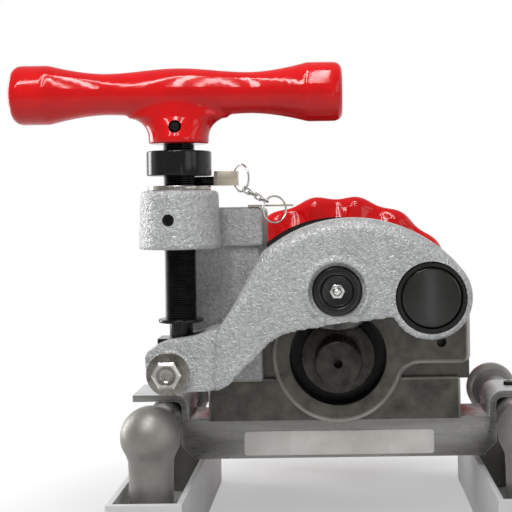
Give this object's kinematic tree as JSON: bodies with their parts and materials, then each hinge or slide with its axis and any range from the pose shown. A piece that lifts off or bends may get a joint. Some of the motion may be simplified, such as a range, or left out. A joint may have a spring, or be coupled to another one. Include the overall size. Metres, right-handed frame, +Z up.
{
  "type": "roll groover",
  "caption": "Bench roll groover: a screw with a T-handle swings a cast arm that presses a grooving roll towards a driven roll, turned by a rear hand wheel.",
  "frame": {"origin": "on the bench, at the centre of the four foot bolt holes", "axes": "+Z up, +X to the right seen from the roll side, +Y from the rolls to the hand wheel"},
  "size_m": [0.374, 0.296, 0.3376],
  "materials": {
    "grey_hammer": "hammered grey paint on a casting",
    "body_grey": "satin grey, machined on its faces",
    "channel_paint": "light grey paint",
    "cast_post": "satin bare casting",
    "rail_steel": "drawn bar",
    "bar_metal": "brushed, worn",
    "label_film": "plain white film",
    "zinc_steel": "zinc plated",
    "black_steel": "black oxide",
    "ground_steel": "oiled and turned",
    "red_paint": "gloss red enamel",
    "bronze": "oiled bronze",
    "seal_rubber": "black rubber",
    "gauge_steel": "ground flat",
    "chain_steel": "bright nickel plate"
  },
  "bodies": {
    "stand": {"base_channel_left": "channel_paint", "base_channel_right": "channel_paint", "post_front_left": "cast_post", "post_front_right": "cast_post", "post_rear_left": "cast_post", "post_rear_right": "cast_post", "side_rail_left": "rail_steel", "side_rail_right": "rail_steel", "crossbar": "bar_metal", "label_plate": "label_film", "base_bolts": "zinc_steel", "hook_screws": "black_steel", "body_casting": "body_grey", "screw_bracket": "grey_hammer", "bracket_bolts": "black_steel", "screw_bush": "zinc_steel", "bush_grub_screw": "black_steel", "front_bearing": "ground_steel", "rear_bearing": "ground_steel", "shaft_seal": "seal_rubber", "pivot_pin": "black_steel", "pivot_lock_screw": "black_steel"},
    "drive": {"drive_shaft": "ground_steel", "drive_roll": "ground_steel", "hand_wheel": "red_paint", "wheel_key": "zinc_steel", "wheel_nut": "zinc_steel"},
    "lever": {"arm": "grey_hammer", "pivot_bush": "bronze", "roll_shaft": "black_steel", "grease_nipple": "zinc_steel", "shaft_set_screw": "black_steel", "retainer_bolt": "zinc_steel", "retainer_washer": "zinc_steel"},
    "roll": {"groove_roll": "ground_steel", "roll_bush": "bronze"},
    "screw_end": {"swivel_block": "black_steel"},
    "screw": {"feed_screw": "black_steel", "thrust_ring": "black_steel", "t_handle": "red_paint", "handle_pin": "black_steel"},
    "collar": {"depth_collar": "black_steel", "collar_set_screw": "black_steel"},
    "gauge_set": {"depth_gauge": "gauge_steel", "gauge_ring": "chain_steel", "gauge_chain": "chain_steel", "key_ring": "chain_steel", "gauge_plate": "gauge_steel"}
  },
  "joints": [
    {"name": "drive_spin", "type": "hinge", "parent": "stand", "child": "drive", "pos_m": [0, 0, 0.13], "axis": [0, 1, 0], "continuous": true},
    {"name": "arm_swing", "type": "hinge", "parent": "stand", "child": "lever", "pos_m": [0.0635, 0, 0.1755], "axis": [0, 1, 0], "range_deg": [0, 4.83]},
    {"name": "roll_spin", "type": "hinge", "parent": "lever", "child": "roll", "pos_m": [0, 0, 0.1805], "axis": [0, 1, 0], "continuous": true},
    {"name": "screw_feed", "type": "slide", "parent": "stand", "child": "screw_end", "axis": [0, 0, 1], "range_m": [0, 0.01505]},
    {"name": "handle_spin", "type": "hinge", "parent": "screw_end", "child": "screw", "pos_m": [-0.108, -0.069, 0.3], "axis": [0, 0, 1], "range_deg": [0, 3600]},
    {"name": "collar_adjust", "type": "slide", "parent": "screw", "child": "collar", "axis": [0, 0, 1], "range_m": [0, 0.0045]},
    {"name": "gauge_pull", "type": "slide", "parent": "stand", "child": "gauge_set", "axis": [0, 1, 0], "range_m": [0, 0.014]}
  ],
  "couplings": [
    {"joint": "screw_feed", "follows": "handle_spin", "m_per_rad": 0.00023873},
    {"joint": "arm_swing", "follows": "handle_spin", "ratio": 0.0013385}
  ]
}
